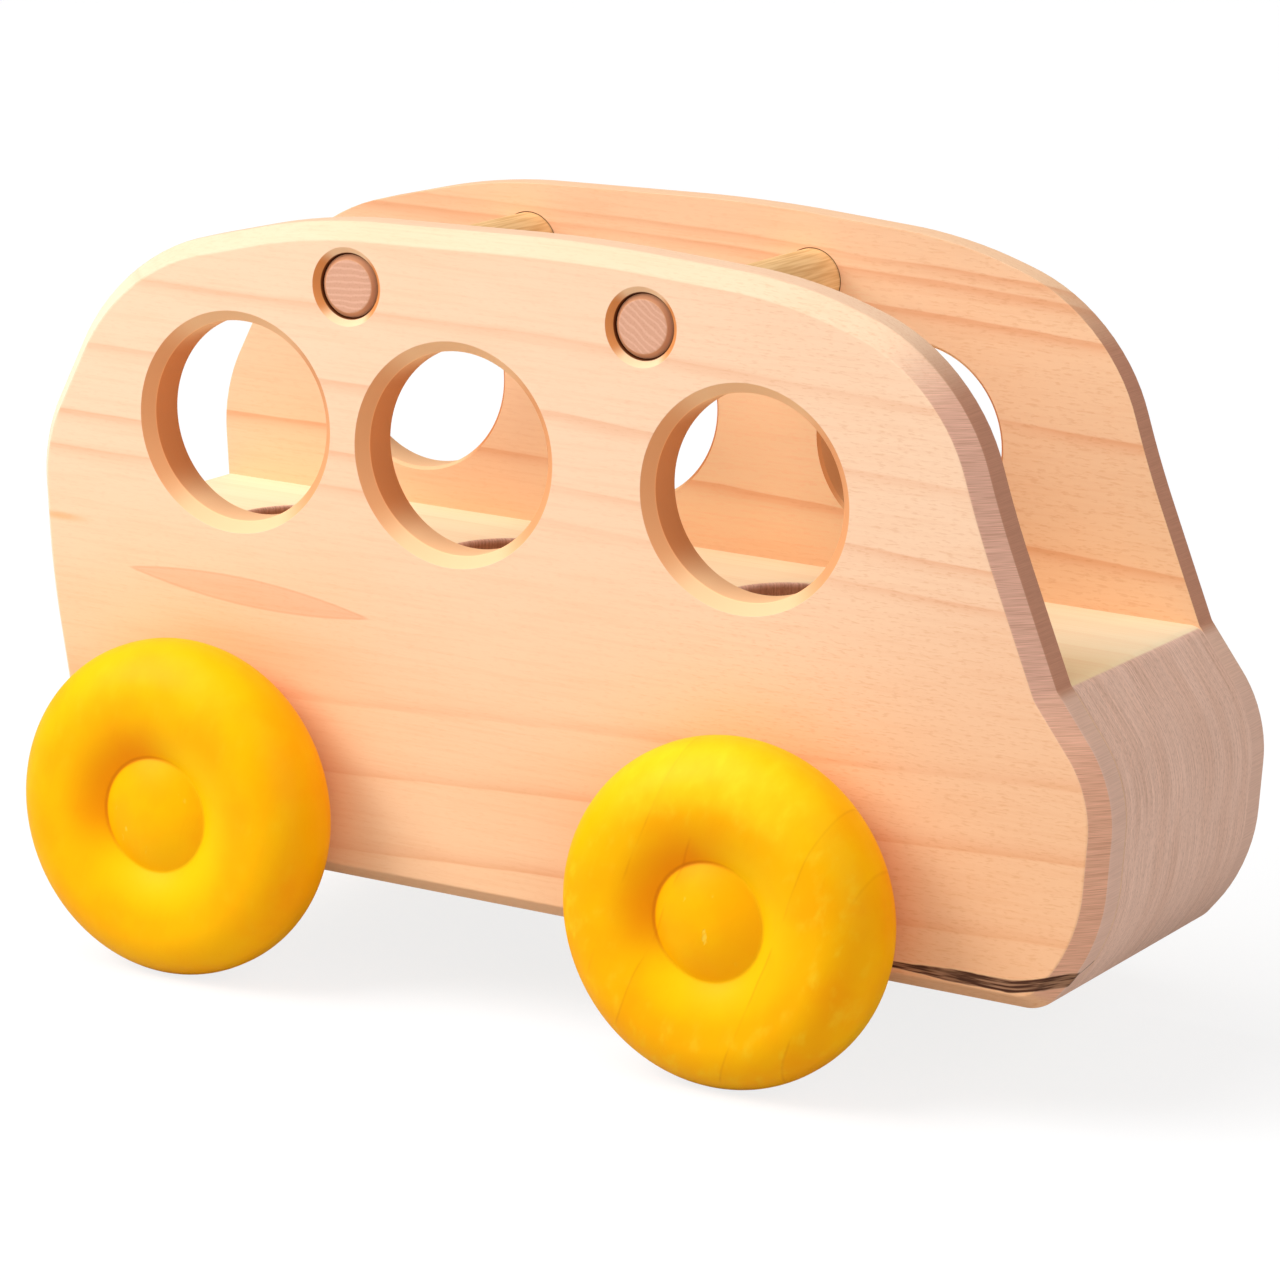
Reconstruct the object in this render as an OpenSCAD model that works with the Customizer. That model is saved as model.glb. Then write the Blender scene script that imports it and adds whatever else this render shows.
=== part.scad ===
// Wooden toy bus: two side panels with round windows, a floor block with seats,
// two cross dowels under the roof, and two axles that each carry a pair of turned wheels.
// +X points to the front, +Z up, and the origin lies on the ground under the middle of the bus.
// Corners of the side profile are placed as they lie before they are rounded.

/* [Body] */
// Length of the bus from the rear end to the nose
body_length = 299.8; // [285:0.2:315]
// Height of the roof above the ground
roof_height = 193.9; // [186:0.2:205]
// Height of the panels' lower edge above the ground
ground_clearance = 27.2; // [22:0.2:31]
// Thickness of each side panel
panel_thickness = 13; // [10:0.5:18]
// Width of the floor block between the side panels
floor_width = 75; // [66:0.5:90]
// Height of the cabin from its floor to the roof
cabin_height = 90.1; // [84:0.1:96]
// Radius rounded onto the front edge of the cabin floor
floor_edge_round = 5; // [1:0.5:10]
// Width of the bevel along the outer edges of the side panels, on their outer faces
edge_bevel = 4; // [2:0.1:6]
// Depth of that bevel, through the panels' thickness
edge_bevel_depth = 5.2; // [2:0.1:8]

/* [Side profile, rear] */
// Distance from the rear end to the lower rear corner
rear_tuck = 17; // [10:0.2:24]
// Radius of the lower rear corner
rear_foot_round = 16.5; // [10:0.5:22]
// Distance from the rear end to the bend below the bulge
rear_bend_inset = 3.4; // [2:0.2:6]
// Distance from the bulge down to the bend below it
rear_bend_drop = 35; // [28:0.5:40]
// Radius of the bend below the bulge
rear_bend_round = 210; // [120:5:280]
// Height of the bulge of the rear end above the cabin floor
rear_bulge_rise = 23; // [15:0.2:32]
// Radius of the bulge of the rear end
rear_bulge_round = 43; // [30:0.5:56]
// Distance from the rear end to the rear roof corner
rear_roof_inset = 22.6; // [14:0.2:30]
// Distance from the roof down to the rear roof corner
rear_roof_drop = 17.7; // [10:0.2:24]
// Radius of the rear roof corner
rear_roof_round = 56; // [40:0.5:70]

/* [Side profile, roof] */
// Distance from the rear end to the rear shoulder of the roof
rear_shoulder_inset = 79.6; // [70:0.2:90]
// Distance from the roof down to its rear shoulder
rear_shoulder_drop = 2.6; // [0.5:0.1:4]
// Radius of the rear shoulder of the roof
rear_shoulder_round = 154; // [100:2:200]
// Place of the roof's crown along the bus
crown_place = 5.7; // [-4:0.1:14]
// Radius of the roof's crown
crown_round = 440; // [300:10:600]
// Distance from the nose to the front shoulder of the roof
front_shoulder_inset = 87.7; // [78:0.1:98]
// Distance from the roof down to its front shoulder
front_shoulder_drop = 3.1; // [1:0.1:5]
// Radius of the front shoulder of the roof
front_shoulder_round = 122; // [80:2:160]

/* [Side profile, front] */
// Distance from the nose to the front roof corner
front_roof_inset = 45.2; // [36:0.2:54]
// Distance from the roof down to the front roof corner
front_roof_drop = 16.7; // [10:0.1:24]
// Radius of the front roof corner
front_roof_round = 52.5; // [36:0.5:66]
// Distance from the foot of the windscreen back to its bend
windscreen_slant = 16.1; // [11:0.1:21]
// Height of the windscreen's bend above its foot
windscreen_bend_rise = 37; // [30:0.2:43]
// Radius of the windscreen's bend
windscreen_bend_round = 260; // [160:5:340]
// Distance from the nose to the foot of the windscreen
windscreen_inset = 16.4; // [12:0.2:22]
// Height of the foot of the windscreen above the cabin floor
windscreen_rise = 0.2; // [0.2:0.1:5]
// Radius of the hollow at the foot of the windscreen
windscreen_foot_round = 2.5; // [1:0.5:12]
// Distance from the cabin floor down to the top of the nose
nose_drop = 20.8; // [14:0.2:28]
// Radius of the top of the nose
nose_round = 34; // [20:0.5:46]
// Distance from the nose to its chin
chin_inset = 1.2; // [0.4:0.1:3]
// Height of the chin above the panels' lower edge
chin_rise = 17.6; // [12:0.2:24]
// Radius of the chin
chin_round = 44; // [30:0.5:56]
// Distance from the nose to the lower front corner
nose_tuck = 14.8; // [8:0.2:24]
// Radius of the lower front corner
front_foot_round = 10; // [8:0.5:14]

/* [Windows] */
// Diameter of each round window
window_diameter = 50; // [40:0.5:53]
// Height of the lowest point of the windows above the cabin floor
window_sill = 9.8; // [5:0.2:14]
// Place of the rear window's centre along the bus
window_rear = -89.6; // [-96:0.2:-84]
// Place of the middle window's centre along the bus
window_middle = -27; // [-32:0.2:-20]
// Place of the front window's centre along the bus
window_front = 52.5; // [44:0.5:60]
// Size of the bevel around the outer rim of each window
window_bevel = 2.8; // [1:0.1:4]

/* [Seats] */
// Diameter of each seat drilled into the cabin floor
seat_diameter = 45; // [34:0.5:54]
// Depth of each seat
seat_depth = 20; // [8:0.5:36]
// Distance from each window's centre back to its seat
seat_setback = 6; // [0:0.5:10]

/* [Cross dowels] */
// Diameter of the cross dowels
dowel_diameter = 16; // [10:0.5:18]
// Distance from the roof down to the axis of the cross dowels
dowel_drop = 17.8; // [15:0.1:21]
// Place of the rear cross dowel along the bus
dowel_rear = -58.4; // [-64:0.2:-54]
// Place of the front cross dowel along the bus
dowel_front = 23.2; // [16:0.2:30]
// Distance from the panels' outer faces in to the dowel ends
dowel_recess = 1; // [0.2:0.1:3]
// Size of the bevel around the outer rims of the dowel holes
dowel_rim_bevel = 1.7; // [0.6:0.1:2.5]
// Size of the bevel on the ends of dowels and axles
dowel_bevel = 1.5; // [0.4:0.1:2.2]

/* [Wheels] */
// Diameter of the wheels
wheel_diameter = 85; // [76:0.5:94]
// Thickness of the wheels
wheel_thickness = 26; // [22:0.5:32]
// Gap between a wheel and its side panel
wheel_gap = 1.5; // [0.8:0.1:4]
// Radius of the tread on the side towards the panel
tread_round_inner = 11.5; // [6:0.5:12]
// Radius of the tread on the outer side
tread_round_outer = 13; // [8:0.5:14]
// Diameter at which the dish in the outer face begins
dish_diameter = 42.4; // [38:0.2:48]
// Radius rounded onto the rim of the dish
dish_round = 25; // [8:0.5:28]
// Depth of the dish below the wheel's outer face
dish_depth = 4; // [2:0.1:6]
// Diameter of the groove around the hub
hub_diameter = 29; // [24:0.5:34]
// Radius at the bottom of the groove around the hub
groove_round = 0.8; // [0.5:0.1:3]
// Height of the domed hub above the groove
hub_dome = 4; // [2:0.1:6]
// Diameter at which the domed hub falls away
hub_crown_diameter = 14.5; // [11:0.5:17]
// Radius of the domed hub
hub_round = 26; // [16:0.5:28]

/* [Axles] */
// Distance from the rear end to the rear axle
rear_overhang = 54.9; // [48:0.1:60]
// Distance from the nose to the front axle
front_overhang = 89.3; // [82:0.1:96]
// Diameter of the axles
axle_diameter = 12; // [8:0.5:14]
// Clearance between an axle and its bore, on the radius
axle_clearance = 0.08; // [0.02:0.01:0.1]
// Depth of the axle's socket in each wheel
axle_socket = 15; // [8:0.5:17]
// Room left between an axle's end and the bottom of its socket
socket_room = 0.5; // [0.2:0.1:1]

/* [Hidden] */
$fn = 96;

// Longest straight step and widest turn allowed along a rounded outline
step_length = 4;
step_turn = 6;
// Part of an edge that the arcs at its two ends may take up
edge_use = 0.98;
// Reach of a cutting shape past the face that it cuts
reach = 1;

rear_end = -body_length / 2;
front_end = body_length / 2;
floor_height = roof_height - cabin_height;
panel_inside = floor_width / 2;
panel_face = panel_inside + panel_thickness;
wheel_inside = panel_face + wheel_gap;
wheel_radius = wheel_diameter / 2;
window_height = floor_height + window_sill + window_diameter / 2;
window_places = [window_rear, window_middle, window_front];
dowel_places = [dowel_rear, dowel_front];
dowel_height = roof_height - dowel_drop;
dowel_half_length = panel_face - dowel_recess;
axle_rear = rear_end + rear_overhang;
axle_front = front_end - front_overhang;
axle_places = [axle_rear, axle_front];
axle_bore = axle_diameter + 2 * axle_clearance;
axle_half_length = wheel_inside + axle_socket - socket_room;

// Corners of the side profile as [along, height, radius], clockwise from the lower rear corner
rear_foot = [rear_end + rear_tuck, ground_clearance, rear_foot_round];
rear_bulge = [rear_end, floor_height + rear_bulge_rise, rear_bulge_round];
rear_bend = [rear_end + rear_bend_inset, rear_bulge[1] - rear_bend_drop, rear_bend_round];
rear_roof = [rear_end + rear_roof_inset, roof_height - rear_roof_drop, rear_roof_round];
rear_shoulder = [rear_end + rear_shoulder_inset, roof_height - rear_shoulder_drop, rear_shoulder_round];
crown = [crown_place, roof_height, crown_round];
front_shoulder = [front_end - front_shoulder_inset, roof_height - front_shoulder_drop, front_shoulder_round];
front_roof = [front_end - front_roof_inset, roof_height - front_roof_drop, front_roof_round];
windscreen_foot = [front_end - windscreen_inset, floor_height + windscreen_rise, windscreen_foot_round];
windscreen_bend = [
    windscreen_foot[0] - windscreen_slant,
    windscreen_foot[1] + windscreen_bend_rise,
    windscreen_bend_round];
nose_top = [front_end, floor_height - nose_drop, nose_round];
chin = [front_end - chin_inset, ground_clearance + chin_rise, chin_round];
front_foot = [front_end - nose_tuck, ground_clearance, front_foot_round];
profile_corners = [rear_foot, rear_bend, rear_bulge, rear_roof, rear_shoulder, crown, front_shoulder, front_roof,
    windscreen_bend, windscreen_foot, nose_top, chin, front_foot];

// Corner at which the cabin floor meets the profile between corners a and b
function floor_meet(a, b, round) =
    [a[0] + (b[0] - a[0]) * (floor_height - a[1]) / (b[1] - a[1]), floor_height, round];

// Corners of the floor block's side outline: the profile below the cabin floor
block_corners = [
    rear_foot,
    rear_bend,
    floor_meet(rear_bend, rear_bulge, 0),
    floor_meet(windscreen_foot, nose_top, floor_edge_round),
    nose_top,
    chin,
    front_foot];

// Corners of half a wheel's section as [distance from the axis, distance from the inner face, radius]
groove_height = wheel_thickness - dish_depth;
hub_top = groove_height + hub_dome;
wheel_corners = [
    [0, 0, 0],
    [0, hub_top, 0],
    [hub_crown_diameter / 2, hub_top, hub_round],
    [hub_diameter / 2, groove_height, groove_round],
    [dish_diameter / 2, wheel_thickness, dish_round],
    [wheel_radius, wheel_thickness, tread_round_outer],
    [wheel_radius, 0, tread_round_inner]];

function flat(corner) = [corner[0], corner[1]];
function unit(v) = v / norm(v);
function before(corners, i) = corners[(i + len(corners) - 1) % len(corners)];
function after(corners, i) = corners[(i + 1) % len(corners)];
function edge(corners, i) = norm(flat(after(corners, i)) - flat(corners[i]));

// Directions from corner i to the corners before and after it
function arms(corners, i) = [
    unit(flat(before(corners, i)) - flat(corners[i])),
    unit(flat(after(corners, i)) - flat(corners[i]))];

// Half the angle between a corner's arms, and the length that its arc takes from each arm
function half_angle(corners, i) =
    let (pair = arms(corners, i))
    acos(max(-1, min(1, pair[0] * pair[1]))) / 2;
function tangent(corners, i) = corners[i][2] / tan(half_angle(corners, i));

// Share of corner i's radius that fits on the edges beside it
function share(corners, i) =
    let (
        last = len(corners) - 1,
        k = i == 0 ? last : i - 1,
        n = i == last ? 0 : i + 1,
        own = tangent(corners, i),
        behind = own + tangent(corners, k),
        ahead = own + tangent(corners, n))
    own == 0 ? 1 : min(1, edge_use * edge(corners, k) / behind, edge_use * edge(corners, i) / ahead);

// Points of the arc at corner i, moved inwards by inset
function arc_points(corners, i, inset) =
    let (
        pair = arms(corners, i),
        half = half_angle(corners, i),
        radius = corners[i][2] * share(corners, i),
        turn = sign(cross(pair[1], pair[0])) * (180 - 2 * half),
        centre = flat(corners[i]) + unit(pair[0] + pair[1]) * radius / sin(half),
        start = flat(corners[i]) + pair[0] * radius / tan(half) - centre,
        first = atan2(start[1], start[0]),
        length = radius * abs(turn) * PI / 180,
        steps = ceil(max(1, abs(turn) / step_turn, length / step_length)),
        moved = radius + sign(turn) * inset)
    radius == 0
        ? [flat(corners[i])]
        : [for (k = [0 : steps]) centre + moved * [cos(first + turn * k / steps), sin(first + turn * k / steps)]];

// Closed outline through all the corners' arcs
function outline(corners, inset = 0) = [for (i = [0 : len(corners) - 1]) each arc_points(corners, i, inset)];

// Shift that centres the side profile over the origin, and an outline moved by it
profile_spread = [for (p = outline(profile_corners)) p[0]];
profile_shift = -(min(profile_spread) + max(profile_spread)) / 2;
function centred(points) = [for (p = points) [p[0] + profile_shift, p[1]]];

// Rings of the right panel from its inner face out, as [distance from mid width, inset]
panel_rings = [[panel_inside, 0], [panel_face - edge_bevel_depth, 0], [panel_face, edge_bevel]];

// Solid board of the right side panel, with its outer edges bevelled and no holes
module panel_board() {
    count = len(outline(profile_corners));
    last = len(panel_rings) - 1;
    points = [for (ring = panel_rings) for (p = centred(outline(profile_corners, ring[1]))) [p[0], -ring[0], p[1]]];
    sides = [for (k = [0 : last - 1]) for (j = [0 : count - 1])
        let (n = (j + 1) % count)
        [k * count + j, (k + 1) * count + j, (k + 1) * count + n, k * count + n]];
    inner_face = [for (j = [0 : count - 1]) j];
    outer_face = [for (j = [count - 1 : -1 : 0]) last * count + j];
    polyhedron(points = points, faces = concat(sides, [inner_face, outer_face]));
}

// Straight hole along Y through the whole width of the bus
module cross_hole(diameter) {
    rotate([90, 0, 0])
        cylinder(d = diameter, h = 2 * (panel_face + reach), center = true);
}

// Cutter that bevels the rim of a hole in the right panel's outer face
module rim_cut(diameter, bevel) {
    translate([0, -panel_face - reach, 0])
        rotate([-90, 0, 0])
        cylinder(d1 = diameter + 2 * (bevel + reach), d2 = diameter - 2 * reach, h = bevel + 2 * reach);
}

// Right side panel with its windows, dowel holes and axle bores
module panel() {
    difference() {
        panel_board();
        for (x = window_places)
            translate([x, 0, window_height]) {
                cross_hole(window_diameter);
                rim_cut(window_diameter, window_bevel);
            }
        for (x = dowel_places)
            translate([x, 0, dowel_height]) {
                cross_hole(dowel_diameter);
                rim_cut(dowel_diameter, dowel_rim_bevel);
            }
        for (x = axle_places)
            translate([x, 0, wheel_radius])
                cross_hole(axle_bore);
    }
}

// Round bar along Y with bevelled ends, centred on the middle of the bus
module bar(diameter, half_length) {
    rotate([90, 0, 0])
        rotate_extrude()
        polygon([
            [0, -half_length],
            [diameter / 2 - dowel_bevel, -half_length],
            [diameter / 2, -half_length + dowel_bevel],
            [diameter / 2, half_length - dowel_bevel],
            [diameter / 2 - dowel_bevel, half_length],
            [0, half_length]]);
}

// Wheel on the right side with its inner face towards the panel, turned about the Y axis
module wheel() {
    translate([0, -wheel_inside, 0])
        rotate([90, 0, 0])
        difference() {
            rotate_extrude()
                polygon(outline(wheel_corners));
            translate([0, 0, -reach])
                cylinder(d = axle_diameter, h = axle_socket + reach);
        }
}

module right_side_panel() {
    color("#f4cda2")
        panel();
}

module left_side_panel() {
    color("#efbf90")
        mirror([0, 1, 0])
        panel();
}

module floor_block() {
    color("#f6d9ac")
        difference() {
            rotate([90, 0, 0])
                linear_extrude(height = floor_width, center = true)
                polygon(centred(outline(block_corners)));
            for (x = window_places)
                translate([x - seat_setback, 0, floor_height - seat_depth])
                    cylinder(d = seat_diameter, h = seat_depth + reach);
            for (x = axle_places)
                translate([x, 0, wheel_radius])
                    cross_hole(axle_bore);
        }
}

module front_cross_dowel() {
    color("#d9a679")
        translate([dowel_front, 0, dowel_height])
        bar(dowel_diameter, dowel_half_length);
}

module rear_cross_dowel() {
    color("#d9a679")
        translate([dowel_rear, 0, dowel_height])
        bar(dowel_diameter, dowel_half_length);
}

module front_axle() {
    color("#e2b98a")
        translate([axle_front, 0, wheel_radius])
        bar(axle_diameter, axle_half_length);
}

module rear_axle() {
    color("#e2b98a")
        translate([axle_rear, 0, wheel_radius])
        bar(axle_diameter, axle_half_length);
}

module front_right_wheel() {
    color("#ffc107")
        translate([axle_front, 0, wheel_radius])
        wheel();
}

module front_left_wheel() {
    color("#ffc107")
        translate([axle_front, 0, wheel_radius])
        mirror([0, 1, 0])
        wheel();
}

module rear_right_wheel() {
    color("#ffc107")
        translate([axle_rear, 0, wheel_radius])
        wheel();
}

module rear_left_wheel() {
    color("#ffc107")
        translate([axle_rear, 0, wheel_radius])
        mirror([0, 1, 0])
        wheel();
}

right_side_panel();
left_side_panel();
floor_block();
front_cross_dowel();
rear_cross_dowel();
front_axle();
rear_axle();
front_right_wheel();
front_left_wheel();
rear_right_wheel();
rear_left_wheel();
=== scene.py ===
"""Wooden toy bus: two side boards, a floor block, two cross dowels and four turned wheels."""
import math

import bmesh
import bpy
from mathutils import Matrix, Vector


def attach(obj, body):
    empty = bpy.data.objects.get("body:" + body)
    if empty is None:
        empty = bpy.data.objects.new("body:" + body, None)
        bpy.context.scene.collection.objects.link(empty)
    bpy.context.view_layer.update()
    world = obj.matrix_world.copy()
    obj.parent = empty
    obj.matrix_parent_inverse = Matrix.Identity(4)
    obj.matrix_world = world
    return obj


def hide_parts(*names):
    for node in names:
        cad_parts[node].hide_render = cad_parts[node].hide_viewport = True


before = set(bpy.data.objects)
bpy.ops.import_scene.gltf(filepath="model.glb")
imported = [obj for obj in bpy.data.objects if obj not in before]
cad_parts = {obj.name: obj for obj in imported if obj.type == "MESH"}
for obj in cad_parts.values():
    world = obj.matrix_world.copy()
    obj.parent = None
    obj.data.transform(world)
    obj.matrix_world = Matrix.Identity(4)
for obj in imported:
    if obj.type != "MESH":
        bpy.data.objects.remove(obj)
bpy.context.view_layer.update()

# Sizes in millimetres
MM = 0.001
INSIDE = 37.5                   # from mid width to the inner face of a side board
BOARD = 13.0                    # thickness of a side board
OUTSIDE = INSIDE + BOARD
BEVEL, BEVEL_DEPTH = 4.0, 5.2   # bevel along the outer edge of a side board, on face and edge
OUTER_EASE, INNER_EASE = 0.45, 0.25   # rounding of the edges of a side board
FLOOR = 103.8                   # height of the cabin floor
SHIFT = -0.274                  # moves the side profile over the middle of the bus
PROFILE = [                     # side profile (along, height, rounding) from the lower rear corner
    (-132.9, 27.2, 16.5), (-146.5, 91.8, 210), (-149.9, 126.8, 43), (-127.3, 176.2, 56),
    (-70.3, 191.3, 154), (5.7, 193.9, 440), (62.2, 190.8, 122), (104.7, 177.2, 52.5),
    (117.4, 141.0, 260), (133.5, 104.0, 2.5), (149.9, 83.0, 34), (148.7, 44.8, 44),
    (135.1, 27.2, 10)]
BLOCK = [                       # side outline of the floor block
    (-132.9, 27.2, 16.5), (-146.5, 91.8, 210), (-147.666, FLOOR, 0.8), (133.656, FLOOR, 5),
    (149.9, 83.0, 34), (148.7, 44.8, 44), (135.1, 27.2, 10)]
WINDOWS, WINDOW_HEIGHT, WINDOW_RADIUS = (-89.6, -27.0, 52.5), 138.6, 25.0
WINDOW_RIM, WINDOW_EASE = 2.8, 0.8    # bevel round a window outside, and its edge inside
SEATS, SEAT_RADIUS, SEAT_DEPTH = (-95.6, -33.0, 46.5), 22.5, 20.0
DOWELS, DOWEL_HEIGHT, DOWEL_RADIUS, DOWEL_HALF = (-58.4, 23.2), 176.1, 8.0, 49.5
DOWEL_RIM, DOWEL_EASE = 1.7, 0.2      # bevel round a dowel hole outside, and its edge inside
DOWEL_ROOM, DOWEL_BEVEL = 0.06, 1.5   # room round a dowel in its hole, and the bevel of its ends
REAR_AXLE, FRONT_AXLE, AXLE_HEIGHT, AXLE_BORE = -95.0, 60.6, 42.5, 6.08
WHEEL_INSIDE = 52.0             # from mid width to the inner face of a wheel
HUB = 14.5                      # radius of the groove round the hub of a wheel
WHEEL = [                       # half section of a wheel (radius, distance outwards, rounding)
    (0, 15, 0), (0, 26, 0), (7.25, 26, 26), (HUB, 22, 0.8), (21.2, 26, 25), (42.5, 26, 13),
    (42.5, 0, 11.5), (6, 0, 0), (6, 15, 0)]
OVER, PROUD = 2.0, 0.02         # how far the ends of a bit, and its lip, stand past the wood

# Tolerances of the drawing
SAME = 1e-6                     # metres within which two places are one
ARC_DEGREES, ARC_LENGTH = 4, 4  # longest step of a rounded corner, in degrees and in millimetres
SMOOTH_ANGLE = 30               # degrees up to which two faces are shaded as one


def only(piece):
    """Leave this piece selected and nothing else."""
    bpy.ops.object.select_all(action="DESELECT")
    piece.select_set(True)
    bpy.context.view_layer.objects.active = piece


def pick(piece, kind, test):
    """In edit mode, select the corners, edges or faces that pass a test, and nothing else."""
    bpy.ops.mesh.select_all(action="DESELECT")
    bpy.ops.mesh.select_mode(type=kind)
    mesh = bmesh.from_edit_mesh(piece.data)
    for part in {"VERT": mesh.verts, "EDGE": mesh.edges, "FACE": mesh.faces}[kind]:
        if test(part):
            part.select_set(True)
    mesh.select_flush(True)
    bmesh.update_edit_mesh(piece.data)


def lies_across(part, across):
    """Whether an edge or a face lies at one distance across the bus."""
    return all(abs(corner.co.y - across * MM) < SAME for corner in part.verts)


def round_corner(piece, before, corner, after, radius):
    """Round one corner of an outline to a true arc."""
    half = (corner - before).angle(after - corner) / 2
    fullness = 1 / (1 + math.cos(half))
    steps = max(4, math.ceil(math.degrees(2 * half) / ARC_DEGREES),
                math.ceil(2 * half * radius / (ARC_LENGTH * MM)))
    pick(piece, "VERT", lambda v: (v.co - corner).length < SAME)
    bpy.ops.mesh.bevel(offset=radius * math.tan(half), segments=steps,
                       profile=(1 - fullness / 2) ** 2, affect="VERTICES", clamp_overlap=False)


def draw_outline(name, corners, spot_of):
    """Draw a flat outline, fill it and round its corners. The piece stays in edit mode."""
    points = [spot_of(a, b) for a, b, _ in corners]
    bpy.ops.object.select_all(action="DESELECT")
    bpy.ops.mesh.primitive_plane_add(size=MM, location=points[0])
    piece = bpy.context.object
    piece.name = piece.data.name = name
    bpy.ops.object.transform_apply(location=True, rotation=True, scale=True)
    bpy.ops.object.mode_set(mode="EDIT")
    bpy.ops.mesh.select_mode(type="VERT")
    bpy.ops.mesh.merge(type="CENTER")
    for here, there in zip(points, points[1:]):
        bpy.ops.mesh.extrude_vertices_move(TRANSFORM_OT_translate={"value": there - here})
    bpy.ops.mesh.select_all(action="SELECT")
    bpy.ops.mesh.edge_face_add()
    for i, (_, _, radius) in enumerate(corners):
        if radius:
            after = points[(i + 1) % len(points)]
            round_corner(piece, points[i - 1], points[i], after, radius * MM)
    return piece


def thicken(piece, depth):
    """Give a drawn outline its thickness across the bus."""
    bpy.ops.mesh.select_all(action="SELECT")
    bpy.ops.mesh.extrude_region_move(TRANSFORM_OT_translate={"value": (0, depth * MM, 0)})
    bpy.ops.mesh.select_all(action="SELECT")
    bpy.ops.mesh.normals_make_consistent(inside=False)


def bevel_face(piece, across, width, depth):
    """Draw the face at one distance across the bus in and out, which leaves a bevel round it."""
    pick(piece, "FACE", lambda f: lies_across(f, across))
    bpy.ops.mesh.inset(thickness=width * MM, depth=depth * MM, use_even_offset=True)


def ease_edges(piece, across, width, steps):
    """Round all the edges that lie at one distance across the bus."""
    pick(piece, "EDGE", lambda e: lies_across(e, across))
    bpy.ops.mesh.bevel(offset=width * MM, segments=steps, profile=0.5, affect="EDGES",
                       clamp_overlap=False, loop_slide=False)


def turn(name, section, foot, along, steps=128):
    """Spin a half section (radius, distance, rounding) about an axis that starts at foot."""
    foot, along, out = Vector(foot) * MM, Vector(along), Vector((1, 0, 0))
    piece = draw_outline(name, section, lambda r, d: foot + (out * r + along * d) * MM)
    bpy.ops.mesh.select_all(action="SELECT")
    bpy.ops.mesh.delete(type="ONLY_FACE")
    pick(piece, "EDGE", lambda e: all(abs(v.co.x - foot.x) < SAME for v in e.verts))
    bpy.ops.mesh.delete(type="EDGE")
    bpy.ops.mesh.select_all(action="SELECT")
    bpy.ops.mesh.spin(steps=steps, angle=2 * math.pi, center=foot, axis=along)
    bpy.ops.mesh.select_all(action="SELECT")
    bpy.ops.mesh.remove_doubles(threshold=SAME)
    bpy.ops.mesh.normals_make_consistent(inside=False)
    bpy.ops.object.mode_set(mode="OBJECT")
    return piece


def bore(piece, bits):
    """Cut holes with turned bits, which are used up."""
    for bit in bits:
        only(piece)
        hole = piece.modifiers.new("hole", "BOOLEAN")
        hole.operation, hole.solver, hole.object = "DIFFERENCE", "EXACT", bit
        bpy.ops.object.modifier_apply(modifier=hole.name)
        bpy.data.objects.remove(bit, do_unlink=True)


def board_bit(x, height, radius, rim, ease):
    """Bit for a hole through the right side board: bevelled rim outside, eased edge inside."""
    face, lip, rounding = BOARD + PROUD, radius + rim + 1, 0.5
    section = [(0, -OVER, 0), (radius + ease + OVER, -OVER, 0), (radius, ease, 0),
               (radius, BOARD - rim, rounding), (radius + rim, face, rounding), (lip, face, 0),
               (lip, face + OVER, 0), (0, face + OVER, 0)]
    return turn("bit", section, (x, -INSIDE, height), (0, -1, 0))


def through_bit(x, height, radius):
    """Straight bit across the whole width of the bus."""
    reach = OUTSIDE + OVER
    section = [(0, -reach, 0), (radius, -reach, 0), (radius, reach, 0), (0, reach, 0)]
    return turn("bit", section, (x, 0, height), (0, 1, 0), 64)


def seat_bit(x):
    """Bit for a flat-bottomed seat in the cabin floor, with its rim eased."""
    top, lip = SEAT_DEPTH + PROUD, SEAT_RADIUS + OVER
    section = [(0, 0, 0), (SEAT_RADIUS, 0, 0.6), (SEAT_RADIUS, top, 0.8), (lip, top, 0),
               (lip, top + OVER, 0), (0, top + OVER, 0)]
    return turn("bit", section, (x, 0, FLOOR - SEAT_DEPTH), (0, 0, 1))


def copy_of(piece, name, shift=(0, 0, 0), flip=False):
    """Copy a piece with a mesh of its own, moved or mirrored to the other side of the bus."""
    only(piece)
    bpy.ops.object.duplicate(linked=False)
    twin = bpy.context.object
    twin.name = twin.data.name = name
    bpy.ops.object.mode_set(mode="EDIT")
    bpy.ops.mesh.select_all(action="SELECT")
    if flip:
        bpy.ops.transform.resize(value=(1, -1, 1), center_override=(0, 0, 0))
        bpy.ops.mesh.normals_make_consistent(inside=False)
    bpy.ops.transform.translate(value=Vector(shift) * MM)
    bpy.ops.object.mode_set(mode="OBJECT")
    return twin


def sand(piece):
    """Shade a piece smooth, with its flat faces kept flat."""
    only(piece)
    bpy.ops.object.shade_smooth_by_angle(angle=math.radians(SMOOTH_ANGLE))
    even = piece.modifiers.new("even", "WEIGHTED_NORMAL")
    even.keep_sharp = True
    bpy.ops.object.modifier_apply(modifier=even.name)


def side_outline(name, corners):
    """Outline in the plane of the inner face of the right side board."""
    return draw_outline(name, corners, lambda x, z: Vector((x + SHIFT, -INSIDE, z)) * MM)


def axle_bits():
    """Bits for the bores of both axles."""
    return [through_bit(x, AXLE_HEIGHT, AXLE_BORE) for x in (REAR_AXLE, FRONT_AXLE)]


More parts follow.
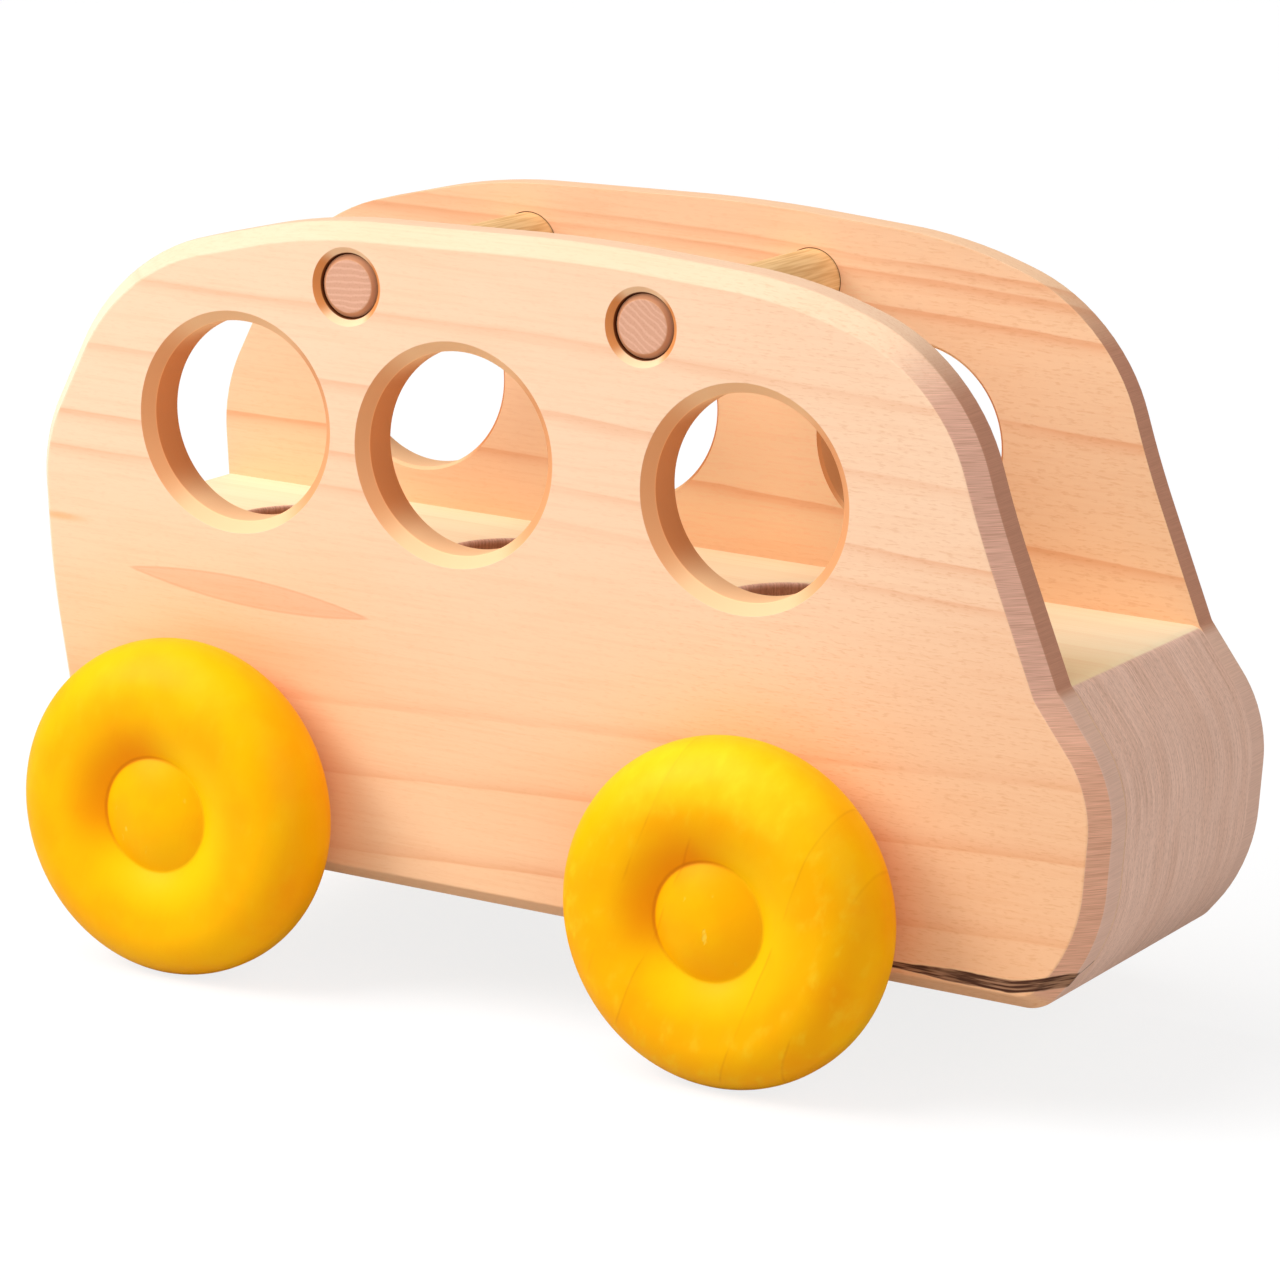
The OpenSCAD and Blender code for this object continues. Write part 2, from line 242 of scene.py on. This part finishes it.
def make_side_board():
    """Right side board with its bevels, windows, dowel holes and axle bores."""
    board = side_outline("right_board", PROFILE)
    thicken(board, BEVEL_DEPTH - BOARD)
    bevel_face(board, BEVEL_DEPTH - OUTSIDE, BEVEL, BEVEL_DEPTH)
    ease_edges(board, -OUTSIDE, OUTER_EASE, 3)
    ease_edges(board, BEVEL_DEPTH - OUTSIDE, OUTER_EASE, 3)
    ease_edges(board, -INSIDE, INNER_EASE, 2)
    bpy.ops.object.mode_set(mode="OBJECT")
    bore(board, [board_bit(x, WINDOW_HEIGHT, WINDOW_RADIUS, WINDOW_RIM, WINDOW_EASE)
                 for x in WINDOWS])
    bore(board, [board_bit(x, DOWEL_HEIGHT, DOWEL_RADIUS, DOWEL_RIM, DOWEL_EASE) for x in DOWELS])
    bore(board, axle_bits())
    return board


def make_floor_block():
    """Floor block with its seats and axle bores."""
    block = side_outline("seat_block", BLOCK)
    thicken(block, 2 * INSIDE)
    bpy.ops.object.mode_set(mode="OBJECT")
    bore(block, [seat_bit(x) for x in SEATS])
    bore(block, axle_bits())
    return block


def make_dowel():
    """Cross dowel with bevelled ends, at the rear place."""
    half, radius, rounding = DOWEL_HALF, DOWEL_RADIUS - DOWEL_ROOM, 0.8
    tip, shoulder = radius - DOWEL_BEVEL, half - DOWEL_BEVEL
    section = [(0, -half, 0), (tip, -half, rounding), (radius, -shoulder, rounding),
               (radius, shoulder, rounding), (tip, half, rounding), (0, half, 0)]
    return turn("rear_dowel", section, (DOWELS[0], 0, DOWEL_HEIGHT), (0, 1, 0), 96)


right_board = make_side_board()
left_board = copy_of(right_board, "left_board", flip=True)
seat_block = make_floor_block()
rear_dowel = make_dowel()
front_dowel = copy_of(rear_dowel, "front_dowel", (DOWELS[1] - DOWELS[0], 0, 0))
rear_right = turn("rear_right_turning", WHEEL, (REAR_AXLE, -WHEEL_INSIDE, AXLE_HEIGHT),
                  (0, -1, 0), 144)
front_right = copy_of(rear_right, "front_right_turning", (FRONT_AXLE - REAR_AXLE, 0, 0))
rear_left = copy_of(rear_right, "rear_left_turning", flip=True)
front_left = copy_of(front_right, "front_left_turning", flip=True)
for piece in (right_board, left_board, seat_block, rear_dowel, front_dowel,
              rear_right, front_right, rear_left, front_left):
    sand(piece)


class Wire:
    """One socket in a finish. Sums of wires and numbers become Math nodes."""

    def __init__(self, tree, socket=None):
        self.tree, self.socket = tree, socket

    def node(self, kind, settings=None, sockets=None, out=0):
        """Add a node: its settings first, then the values or wires of its inputs."""
        made = self.tree.nodes.new(kind)
        for key, value in (settings or {}).items():
            if key == "stops":
                marks = made.color_ramp.elements
                while len(marks) < len(value):
                    marks.new(1.0)
                for mark, (spot, shade) in zip(marks, value):
                    mark.position, mark.color = spot, shade
            else:
                setattr(made, key, value)
        for key, value in (sockets or {}).items():
            if isinstance(value, Wire):
                self.tree.links.new(value.socket, made.inputs[key])
            else:
                made.inputs[key].default_value = value
        return Wire(self.tree, made.outputs[out] if made.outputs else None)

    def sum(self, operation, first, second=0.0):
        return self.node("ShaderNodeMath", {"operation": operation}, {0: first, 1: second})

    def __add__(self, other): return self.sum("ADD", self, other)
    def __radd__(self, other): return self.sum("ADD", other, self)
    def __sub__(self, other): return self.sum("SUBTRACT", self, other)
    def __rsub__(self, other): return self.sum("SUBTRACT", other, self)
    def __mul__(self, other): return self.sum("MULTIPLY", self, other)
    def __rmul__(self, other): return self.sum("MULTIPLY", other, self)
    def __truediv__(self, other): return self.sum("DIVIDE", self, other)
    def __rtruediv__(self, other): return self.sum("DIVIDE", other, self)
    def __pow__(self, other): return self.sum("POWER", self, other)
    def __abs__(self): return self.sum("ABSOLUTE", self)

    def larger(self, other):
        return self.sum("MAXIMUM", self, other)

    def step(self, low, high):
        """0 at low, 1 at high, and a soft rise between them."""
        return self.node("ShaderNodeMapRange", {"interpolation_type": "SMOOTHSTEP"},
                         {"Value": self, "From Min": low, "From Max": high})

    def within(self, low, high, soft=0.5):
        """1 between two values, with soft ends."""
        return self.step(low - soft, low) * self.step(high + soft, high)

    def near(self, reach):
        """1 at zero, falling to nothing at the reach on either side."""
        return abs(self).step(reach, 0.0)

    def lap(self):
        """What is left of a count above its last whole number."""
        return self.sum("FRACT", self)

    def two_tone(self, share, first, second):
        """A colour between two, by a share."""
        return self.node("ShaderNodeMix", {"data_type": "RGBA"}, {0: share, 6: first, 7: second}, 2)

    def blend(self, other, share):
        """This colour taken towards another by a share."""
        return self.two_tone(share, self, other)

    def tint(self, red, green, blue, share):
        """This colour with each of its parts scaled, by a share."""
        return self.node("ShaderNodeMix", {"data_type": "RGBA", "blend_type": "MULTIPLY"},
                         {0: share, 6: self, 7: (red, green, blue, 1.0)}, 2)

    def grain(self, x, y, z, sizes, detail, seed):
        """Cloudy noise, 0 to 1, with the size of its features along each of three wires."""
        spot = self.node("ShaderNodeCombineXYZ", None, {
            0: x / sizes[0] + seed, 1: y / sizes[1], 2: z / sizes[2]})
        return self.node("ShaderNodeTexNoise", None, {
            "Vector": spot, "Scale": 1.0, "Detail": detail})


def colour(red, green, blue):
    """Colour as seen on a screen, 0 to 255, for a shader."""
    def linear(v):
        v /= 255
        return v / 12.92 if v <= 0.04045 else ((v + 0.055) / 1.055) ** 2.4
    return linear(red), linear(green), linear(blue), 1.0


# Painted shadow: dark ring in the gap between a dowel and its hole
PAINTED_GAP_SHADOW = colour(105, 52, 16)     # dark gap between a dowel and its hole
SHINE, WHEEL_SHINE = 0.16, 0.07     # gloss of bare and of stained wood
RELIEF, WHEEL_RELIEF = 0.05, 0.08   # depth of the grain in bare and in stained wood
RAMP_LOW, RAMP_HIGH = 15.0, 205.0   # heights between which a board has rings
RING_EDGE, RING_BELOW, RING_ABOVE = 0.45, 6.5, 5.5   # width of a ring's sharp and soft sides


def open_finish(name):
    """A new finish with its place in millimetres."""
    material = bpy.data.materials.new(name)
    material.use_nodes = True
    material.node_tree.nodes.clear()
    wire = Wire(material.node_tree)
    spot = wire.node("ShaderNodeTexCoord", None, None, "Object")
    x, y, z = (wire.node("ShaderNodeSeparateXYZ", None, {0: spot}, i) / MM for i in range(3))
    return material, wire, x, y, z


def facing(wire, axis):
    """How squarely the surface faces along an axis: 0 along the bus, 1 across it."""
    normal = wire.node("ShaderNodeTexCoord", None, None, "Normal")
    return abs(wire.node("ShaderNodeSeparateXYZ", None, {0: normal}, axis))


def close_finish(material, wire, shade, rough, height, depth=RELIEF, shine=SHINE):
    """Wire a colour, a roughness and a height with its depth in millimetres to the surface."""
    bump = wire.node("ShaderNodeBump", None, {"Height": height, "Distance": depth * MM})
    surface = wire.node("ShaderNodeBsdfPrincipled", None, {
        "Base Color": shade, "Roughness": rough, "Normal": bump, "Specular IOR Level": shine})
    wire.node("ShaderNodeOutputMaterial", None, {"Surface": surface})
    return material


def ring_stops(lines, heart):
    """Ramp marks for rings, which darken slowly away from the heart and end in a sharp line."""
    marks = [(RAMP_LOW, 0.0)]
    for line in sorted(lines):
        if line < heart:
            marks += [(line - RING_EDGE, 0.0), (line, 1.0), (line + RING_BELOW, 0.1)]
        else:
            marks += [(line - RING_ABOVE, 0.1), (line, 1.0), (line + RING_EDGE, 0.0)]
    return [((spot - RAMP_LOW) / (RAMP_HIGH - RAMP_LOW), (v, v, v, 1.0)) for spot, v in marks]


def board_wood(name, lines, heart, seed, top, foot, lean, bow, bold):
    """Pale sawn board: long rings, fine pores, pinker end grain and warm walls in its holes.

    The rings lie at the heights in lines about the heart, lean below and above the cabin floor,
    are true at the distance bow across the bus and are as strong as bold. The board's colour goes
    from foot to top. Returns the open finish and, last, the wires that finish_board needs.
    """
    material, wire, x, y, z = open_finish(name)
    along, across = facing(wire, 0), facing(wire, 1)
    lower = z.step(115, 85)
    wave = wire.grain(x, y, z, (90, 60, 30), 2.0, seed) - 0.5
    small = wire.grain(x, y, z, (22, 12, 6), 2.0, seed + 7) - 0.5
    level = (z - x * lower * lean[0] + x.larger(0.0) * (1 - lower) * lean[1]
             + (abs(y) - bow) * 0.3 + wave * 3 + small * 0.7)
    ramp = wire.node("ShaderNodeValToRGB", {"stops": ring_stops(lines, heart)},
                     {"Fac": (level - RAMP_LOW) / (RAMP_HIGH - RAMP_LOW)})
    ring = wire.node("ShaderNodeRGBToBW", None, {"Color": ramp}) ** 3
    fade = wire.grain(x, y, z, (70, 30, 25), 1.0, seed + 13).step(0.3, 0.62) * 0.55 + 0.45
    cloud = wire.grain(x, y, z, (90, 40, 40), 2.0, seed + 21)
    pore = wire.grain(x, y, z, (2.4, 0.6, 0.45), 2.0, seed + 3)
    fibre = wire.grain(x, y, z, (26, 0.8, 1.1), 3.0, seed + 5)
    shade = wire.two_tone(z.step(50, 150), colour(*foot), colour(*top))
    shade = shade.tint(0.98, 0.92, 0.86, cloud.step(0.4, 0.7) * 0.5)
    shade = shade.tint(0.91, 0.75, 0.67, ring * fade * bold)
    shade = shade.tint(0.92, 0.84, 0.78, pore.step(0.52, 0.7) * (x.step(0, 90) * 0.5 + 0.3))
    shade = shade.tint(0.96, 0.9, 0.86, fibre.step(0.42, 0.72) * 0.55)

    # End grain on the edge and on its bevel, with fine saw strokes; the rear bevel carries painted
    # light, paler and with fewer strokes
    edge = across.step(0.92, 0.8)
    bevel = across.step(0.35, 0.5) * edge * abs(y).step(43, 44)
    hole = z.within(108, 168) * x.within(-121, 85)
    cut = (along / ((1 - across * across) ** 0.5 + 0.001)).step(0.45, 0.85)
    end = edge * (1 - hole) * cut
    rear = x.step(0, -100)
    stroke = wire.grain(x, y, z, (8, 12, 0.17), 1.0, seed + 9)
    square = wire.two_tone(z.step(104, 101), colour(199, 141, 113), colour(230, 188, 166))
    slope = wire.two_tone(z.step(110, 80), colour(226, 174, 150), colour(229, 171, 140))
    # Painted light on the rear bevel
    slope = slope.blend(colour(249, 220, 190), rear)
    shade = shade.blend(square.blend(slope, bevel), end)
    mark = end * (bevel * 0.6 + 0.4) * (1 - rear * bevel * 0.8)
    shade = shade.tint(0.85, 0.81, 0.78, mark * stroke.step(0.5, 0.64))
    shade = shade.tint(1.13, 1.14, 1.15, mark * stroke.step(0.47, 0.34))

    # Walls and rims of the windows, then those of the dowel holes, with painted shade, a painted
    # highlight and a painted shadow
    # Window walls: darker orange end grain with painted shade of the holes
    wall = wire.two_tone(bevel, colour(213, 137, 83), colour(230, 162, 110))
    wall = wire.two_tone(cut, colour(250, 203, 154), wall)
    shade = shade.blend(wall, hole * edge)
    # Painted highlight: a thin pale line along the foot of a window's rim bevel
    rim_foot = abs(y) - (OUTSIDE - WINDOW_RIM)
    shade = shade.tint(1.12, 1.1, 1.06, hole * edge * rim_foot.near(0.35))
    for middle in DOWELS:
        u, v = x - middle, z - DOWEL_HEIGHT
        reach = (u * u + v * v) ** 0.5
        # Darker orange rim round a dowel hole: end grain with painted shade
        rim = wire.two_tone(cut, colour(252, 212, 168), colour(222, 142, 80))
        shade = shade.blend(rim, reach.step(10.2, 9.8) * edge)
        # Painted shadow in the gap round the dowel
        shade = shade.blend(PAINTED_GAP_SHADOW, reach.step(8.3, 8.12) * edge)
    return material, wire, x, y, z, shade, (end, stroke, fibre, pore)


def finish_board(material, wire, shade, end, stroke, fibre, pore):
    """Close the finish of a side board, which is rougher on its end grain."""
    rough = 0.52 + fibre * 0.16 + end * 0.1
    height = fibre * 0.5 + pore * 0.3 + stroke * end * 0.8
    return close_finish(material, wire, shade, rough, height)


def right_board_wood():
    """Near board, with a pink lens over the rear wheel and bark along its lower front edge."""
    material, wire, x, y, z, shade, texture = board_wood(
        "right_board_wood", lines=(38.0, 57.8, 75.2, 126.8, 135.4, 153.0, 171.4), heart=105.0,
        seed=0.0, top=(252, 212, 178), foot=(251, 203, 159), lean=(0.05, 0.042), bow=OUTSIDE,
        bold=1.0)
    end = texture[0]

    # Lens, a short dash at the rear, a darker pink zone, and painted shade towards the lower front
    u = (x + 84.6) / 36.5
    inside = (1 - u * u) * 3.6 - abs(z - 96.3 + u * 1.6)
    rim = (inside - 0.3).near(0.5) * abs(u).step(1.0, 0.9)
    shade = shade.tint(0.97, 0.83, 0.79, inside.step(-0.2, 0.9) * 0.95)
    shade = shade.tint(0.9, 0.76, 0.7, rim * 0.75)
    shade = shade.tint(0.94, 0.77, 0.6, (x + 141).near(12) * (z - 108).near(1.7))
    shade = shade.tint(0.98, 0.93, 0.9, (x + 74).near(42) * (z - 82).near(9))
    # Painted shade: the board darker towards its lower front
    shade = shade.tint(0.98, 0.91, 0.87, x.step(50, 130) * z.step(150, 100) * (1 - end))

    # Bark streak, with a crack that runs on from it over the front edge
    wander = (wire.grain(x, y, z, (7, 5, 5), 2.0, 41) - 0.5) * 0.8
    middle = x.step(126, 143) * 2.9 + 33.3
    half = x.step(98, 115) * 0.8 + x.step(134, 139) * 0.3 + 0.75
    streak = (half - abs(z - middle + wander)).step(-0.15, 0.2)
    bark = streak * x.step(84, 96) * abs(y).step(43.4, 44.4)
    shred = wire.grain(x, y, z - middle, (9, 7, 0.5), 2.0, 43)
    tone = wire.two_tone(shred.step(0.42, 0.66), colour(78, 46, 30), colour(164, 120, 90))
    rise = z - 37.1 - (43.9 - abs(y)) * 0.3667
    crack = rise.near(0.35) * abs(y).within(38, 44) * x.step(139, 141)
    shade = shade.blend(tone, bark).blend(colour(96, 60, 42), crack * 0.9)
    return finish_board(material, wire, shade, *texture)


def left_board_wood():
    """Far board, warmer and with bolder rings than the near one, and paler by the front window."""
    material, wire, x, y, z, shade, texture = board_wood(
        "left_board_wood", lines=(44.0, 68.0, 90.0, 121.3, 151.2, 173.9, 182.0, 186.1),
        heart=100.0, seed=31.0, top=(252, 208, 168), foot=(252, 200, 150), lean=(0.0, 0.045),
        bow=INSIDE, bold=1.6)
    end = texture[0]
    # Painted light: paler on the inner face by the front window, where the near board shades it
    pale = x.within(-35, 30, 25) * z.step(100, 115) * z.step(190, 160)
    shade = shade.tint(1.12, 1.18, 1.16, pale * (1 - end))
    return finish_board(material, wire, shade, *texture)


def seat_block_wood():
    """Floor block: faint long rings on top, pinkish upright strokes and scratches on its ends."""
    material, wire, x, y, z = open_finish("seat_block_wood")
    end = facing(wire, 0).step(0.35, 0.5)
    wave = wire.grain(x, y, z, (90, 30, 40), 2.0, 61) - 0.5
    ring = ((y + z * 0.25 + wave * 7) / 13 + 20).lap()
    ring = ring.step(0.3, 0.97) * ring.step(1.0, 0.97)
    fibre = wire.grain(x, y, z, (30, 0.8, 1.0), 3.0, 63)
    upright = wire.grain(x, y, z, (30, 0.32, 22), 3.0, 65)
    speck = wire.grain(x, y, z, (2, 0.35, 0.9), 2.0, 75)
    band = wire.grain(x, y, z, (40, 6, 80), 2.0, 67)
    scratch = wire.grain(y + z * 0.7, y * 0.7 - z, x, (9, 0.4, 20), 1.0, 69)
    shade = wire.two_tone(ring * 0.14, colour(255, 234, 196), colour(240, 194, 144))
    shade = shade.tint(0.95, 0.88, 0.8, fibre.step(0.42, 0.72) * 0.4)
    # Warmer and darker towards the near board: a ring band with painted shade beside the board
    shade = shade.tint(0.98, 0.91, 0.8, y.step(12, -25))
    shade = shade.blend(colour(243, 202, 180), end)
    shade = shade.tint(0.82, 0.78, 0.76, end * speck.step(0.48, 0.68) * 0.8)
    shade = shade.tint(0.85, 0.8, 0.77, end * upright.step(0.45, 0.66))
    shade = shade.tint(1.08, 1.09, 1.1, end * upright.step(0.45, 0.3))
    shade = shade.tint(0.95, 0.91, 0.88, end * band.step(0.42, 0.66) * 0.8)
    shade = shade.tint(1.06, 1.06, 1.06, end * scratch.step(0.54, 0.68) * y.step(5, -25))
    # Painted shade: the walls and floors of the seats darkened
    seat = z.within(81, 102, 1.5) * x.within(-119, 70, 1)
    shade = shade.tint(0.62, 0.45, 0.32, seat)
    rough = 0.52 + fibre * 0.15 + end * 0.1
    height = fibre * 0.5 + (upright + scratch) * end * 0.6
    return close_finish(material, wire, shade, rough, height)


def dowel_wood(name, middle, angle):
    """Cross dowel: golden along its length, pink with faint pale lines on its end grain."""
    material, wire, x, y, z = open_finish(name)
    u, v, a = x - middle, z - DOWEL_HEIGHT, math.radians(angle)
    reach = (u * u + v * v) ** 0.5
    drift = wire.grain(u, y, v, (7, 60, 7), 2.0, angle) - 0.5
    ring = ((v * math.cos(a) - u * math.sin(a)) / 1.5 + drift * 1.6 + 10).lap()
    ring = ring.step(0.45, 0.7) * ring.step(1.0, 0.8)
    fibre = wire.grain(u, y, v, (0.8, 18, 0.8), 2.0, 71)
    speck = wire.grain(u, y, v, (0.5, 0.5, 0.5), 2.0, 73)
    tip = facing(wire, 1).step(0.75, 0.95)
    outer = abs(y).step(46.5, 47.5) * (1 - tip)
    shade = wire.two_tone(fibre.step(0.35, 0.7), colour(244, 200, 142), colour(224, 172, 112))
    heart = wire.two_tone(ring * 0.42, colour(218, 164, 136), colour(240, 192, 164))
    shade = shade.blend(heart, tip)
    shade = shade.tint(0.9, 0.84, 0.8, tip * speck.step(0.5, 0.7) * 0.5)
    # Darker orange bevel at the end: end grain with painted shade
    shade = shade.blend(colour(210, 148, 110), outer)
    # Painted shadow at the edge of the end, in the gap round the dowel
    shade = shade.blend(PAINTED_GAP_SHADOW, outer * reach.step(7.68, 7.82))
    height = fibre * 0.6 + ring * tip * 0.3
    return close_finish(material, wire, shade, 0.55 + fibre * 0.15, height)


def axle_wood():
    """Plain rod for the axles."""
    material, wire, x, y, z = open_finish("axle_rod_wood")
    fibre = wire.grain(x, y, z, (0.8, 20, 0.8), 3.0, 81)
    shade = wire.two_tone(fibre.step(0.35, 0.7), colour(236, 194, 146), colour(204, 152, 102))
    return close_finish(material, wire, shade, 0.55 + fibre * 0.15, fibre)


def wheel_stain(name, middle, angle, lines, broad, wear_and_highlight, seed):
    """Yellow stain over turned wood, orange in the dish with painted shade on its upper left and
    painted light on its lower right, paler with wear on the tread, with a painted highlight on the
    top of the tread and painted shade in the groove round the hub.

    The grain stands at an angle. Thin lines cross the face at the offsets in lines, and one broad
    streak at the offset broad.
    """
    material, wire, x, y, z = open_finish(name)
    u, v, a = x - middle, z - AXLE_HEIGHT, math.radians(angle)
    side, down = u * math.cos(a) - v * math.sin(a), u * math.sin(a) + v * math.cos(a)
    radius = (u * u + v * v) ** 0.5
    drift = (wire.grain(side, y, down, (30, 30, 24), 2.0, seed) - 0.5) * 2.5
    fibre = wire.grain(side, y, down, (0.7, 1.2, 16), 3.0, seed + 3)
    cloud = wire.grain(u, y, v, (16, 16, 16), 3.0, seed + 5)
    rub = wire.grain(side, y, down, (3.5, 6, 6), 3.0, seed + 8)

    # Stain, with painted shade on the upper left of the dish and painted light on its lower right,
    # and the grain under it
    dish = radius.step(28, 16) * radius.step(13.5, 15)
    painted_shade_side = ((v * 0.55 - u * 0.83) / (radius + 0.1)).step(-0.1, 0.9)
    shade = wire.two_tone(cloud.step(0.35, 0.7), colour(255, 187, 0), colour(255, 176, 0))
    # Painted shade on the upper left of the dish
    shade = shade.blend(colour(246, 142, 0), dish * painted_shade_side * 0.75)
    # Painted light on the lower right of the dish
    shade = shade.blend(colour(255, 206, 8), dish * (1 - painted_shade_side) * 0.6)
    shade = shade.tint(0.97, 0.86, 0.6, (side + drift - broad).near(6))
    for offset in lines:
        streak = side + drift - offset
        shown = wire.grain(side, y, down, (20, 40, 17), 1.0, seed + offset).step(0.42, 0.56)
        shadow = streak.step(5, 0) * streak.step(-0.3, 0.2)
        shade = shade.tint(0.84, 0.66, 0.4, streak.near(0.5) * shown * 0.45)
        shade = shade.tint(0.98, 0.92, 0.8, shadow * shown * 0.8)
    shade = shade.tint(0.98, 0.93, 0.82, fibre.step(0.5, 0.75) * 0.3)

    # Wear on the tread, a painted highlight on the top of the tread, painted shade in the groove
    # round the hub, and nicks in the hub
    tread = rub.step(0.5, 0.8) * radius.within(28, 38, 6)
    painted_crest_highlight = (v / (radius + 0.1)).step(0.5, 0.95) * radius.within(31, 40, 5)
    nick = rub.step(0.66, 0.72) * radius.step(13, 8)
    shade = shade.blend(colour(255, 206, 40), tread * wear_and_highlight)
    # Painted highlight on the top of the tread
    shade = shade.blend(colour(255, 214, 30), painted_crest_highlight * (rub * 1.3 + 0.3) * wear_and_highlight)
    # Painted shade in the groove round the hub, darker on the shaded side
    shade = shade.blend(colour(212, 116, 0), (radius - HUB).near(0.8) * (painted_shade_side * 0.7 + 0.1))
    shade = shade.blend(colour(255, 218, 80), nick * 0.6)
    rough = 0.33 + cloud * 0.1 + rub * 0.1
    height = fibre * 0.3 + cloud * 0.3 - nick * 1.2
    return close_finish(material, wire, shade, rough, height, WHEEL_RELIEF, WHEEL_SHINE)


def place(piece, body, node, finish):
    """Put a finish on a piece and let it ride on its body in place of its CAD node."""
    piece.data.materials.clear()
    piece.data.materials.append(finish)
    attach(piece, body)
    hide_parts(node)


place(right_board, "bus_body", "right_side_panel", right_board_wood())
place(left_board, "bus_body", "left_side_panel", left_board_wood())
place(seat_block, "bus_body", "floor_block", seat_block_wood())
place(rear_dowel, "bus_body", "rear_cross_dowel",
      dowel_wood("rear_dowel_wood", DOWELS[0], 6))
place(front_dowel, "bus_body", "front_cross_dowel",
      dowel_wood("front_dowel_wood", DOWELS[1], -35))
for turning, node, middle, angle, lines, broad, wear_and_highlight, seed in (
        (rear_right, "rear_right", REAR_AXLE, 14, (), 40.0, 0.15, 3),
        (rear_left, "rear_left", REAR_AXLE, -35, (-24.0, 3.0, 19.0), 34.0, 0.4, 29),
        (front_right, "front_right", FRONT_AXLE, 20, (-22.7, -11.2, 18.0, 31.0), 36.0, 0.6, 17),
        (front_left, "front_left", FRONT_AXLE, 60, (-18.0, 9.0, 28.0), -34.0, 0.4, 43)):
    finish = wheel_stain(node + "_stain", middle, angle, lines, broad, wear_and_highlight, seed)
    place(turning, node.split("_")[0] + "_wheelset", node + "_wheel", finish)
rod_wood = axle_wood()
for node in ("front_axle", "rear_axle"):
    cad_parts[node].data.materials.clear()
    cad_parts[node].data.materials.append(rod_wood)

WHITE = (1, 1, 1, 1)


def lay_floor():
    """Wide pale floor that shows white and keeps the shadow of the bus."""
    paper_level, glow_share, glow_level = 0.58, 0.62, 1.3
    bpy.ops.object.select_all(action="DESELECT")
    bpy.ops.mesh.primitive_plane_add(size=12, location=(0, 0, 0))
    floor = bpy.context.object
    floor.name = "studio_floor"
    material = bpy.data.materials.new("floor_paper")
    material.use_nodes = True
    material.node_tree.nodes.clear()
    wire = Wire(material.node_tree)
    seen = wire.node("ShaderNodeLightPath", None, None, "Is Camera Ray")
    paper = wire.node("ShaderNodeBsdfDiffuse", None, {
        "Color": (paper_level, paper_level, paper_level, 1)})
    glow = wire.node("ShaderNodeEmission", None, {"Color": WHITE, "Strength": glow_level})
    both = wire.node("ShaderNodeMixShader", None, {0: seen * glow_share, 1: paper, 2: glow})
    wire.node("ShaderNodeOutputMaterial", None, {"Surface": both})
    floor.data.materials.append(material)


def hang(name, kind, aim, far):
    """Lamp at a distance in the direction aim from the middle of the bus, turned to it."""
    lamp = bpy.data.lights.new(name, kind)
    hung = bpy.data.objects.new(name, lamp)
    bpy.context.scene.collection.objects.link(hung)
    aim = Vector(aim).normalized()
    hung.location = aim * far + Vector((0, 0, 0.1))
    hung.rotation_euler = aim.to_track_quat("Z", "Y").to_euler()
    hung.visible_camera = False
    return lamp


def hang_sun(name, aim, level, spread):
    """Even lamp, at a level where 1 shows a colour as it is."""
    lamp = hang(name, "SUN", aim, 2.0)
    lamp.energy, lamp.angle = level * math.pi, math.radians(spread)


def hang_panel(name, aim, far, size, level):
    """Square lamp near by, at a level where 1 shows a colour as it is at the middle of the bus."""
    lamp = hang(name, "AREA", aim, far)
    lamp.size = size
    lamp.energy = level * (math.pi * far) ** 2


def light_studio():
    """Soft surround, a broad lamp at the left in front, light from above and a weak fill."""
    world = bpy.data.worlds.new("white_surround")
    bpy.context.scene.world = world
    world.use_nodes = True
    world.node_tree.nodes.clear()
    wire = Wire(world.node_tree)
    seen = wire.node("ShaderNodeLightPath", None, None, "Is Camera Ray")
    soft = wire.node("ShaderNodeBackground", None, {"Color": WHITE, "Strength": 0.25})
    white = wire.node("ShaderNodeBackground", None, {"Color": WHITE, "Strength": 1.0})
    both = wire.node("ShaderNodeMixShader", None, {0: seen, 1: soft, 2: white})
    wire.node("ShaderNodeOutputWorld", None, {"Surface": both})
    hang_panel("key_lamp", aim=(-0.6, -0.62, 0.5), far=1.15, size=0.6, level=0.5)
    hang_sun("top_lamp", aim=(-0.45, -0.3, 0.84), level=0.62, spread=50)
    hang_sun("fill_lamp", aim=(0.86, -0.4, 0.32), level=0.35, spread=60)


def set_camera():
    """Camera where the picture was taken, for a square picture."""
    lens = bpy.data.cameras.new("camera")
    lens.lens, lens.sensor_width = 150.885, 36.0
    lens.shift_x, lens.shift_y = -0.00568, 0.04417
    camera = bpy.data.objects.new("camera", lens)
    bpy.context.scene.collection.objects.link(camera)
    right = Vector((0.87485991, 0.48266435, 0.04068495))
    up = Vector((-0.15163441, 0.19313529, 0.96938422))
    back = Vector((0.4600295, -0.85424463, 0.24215484))
    turned = Matrix((right, up, back)).transposed().to_4x4()
    turned.translation = Vector((618.2, -1144.38, 397.551)) * MM
    camera.matrix_world = turned
    bpy.context.scene.camera = camera


lay_floor()
light_studio()
set_camera()
bpy.context.scene.view_settings.view_transform = "Standard"
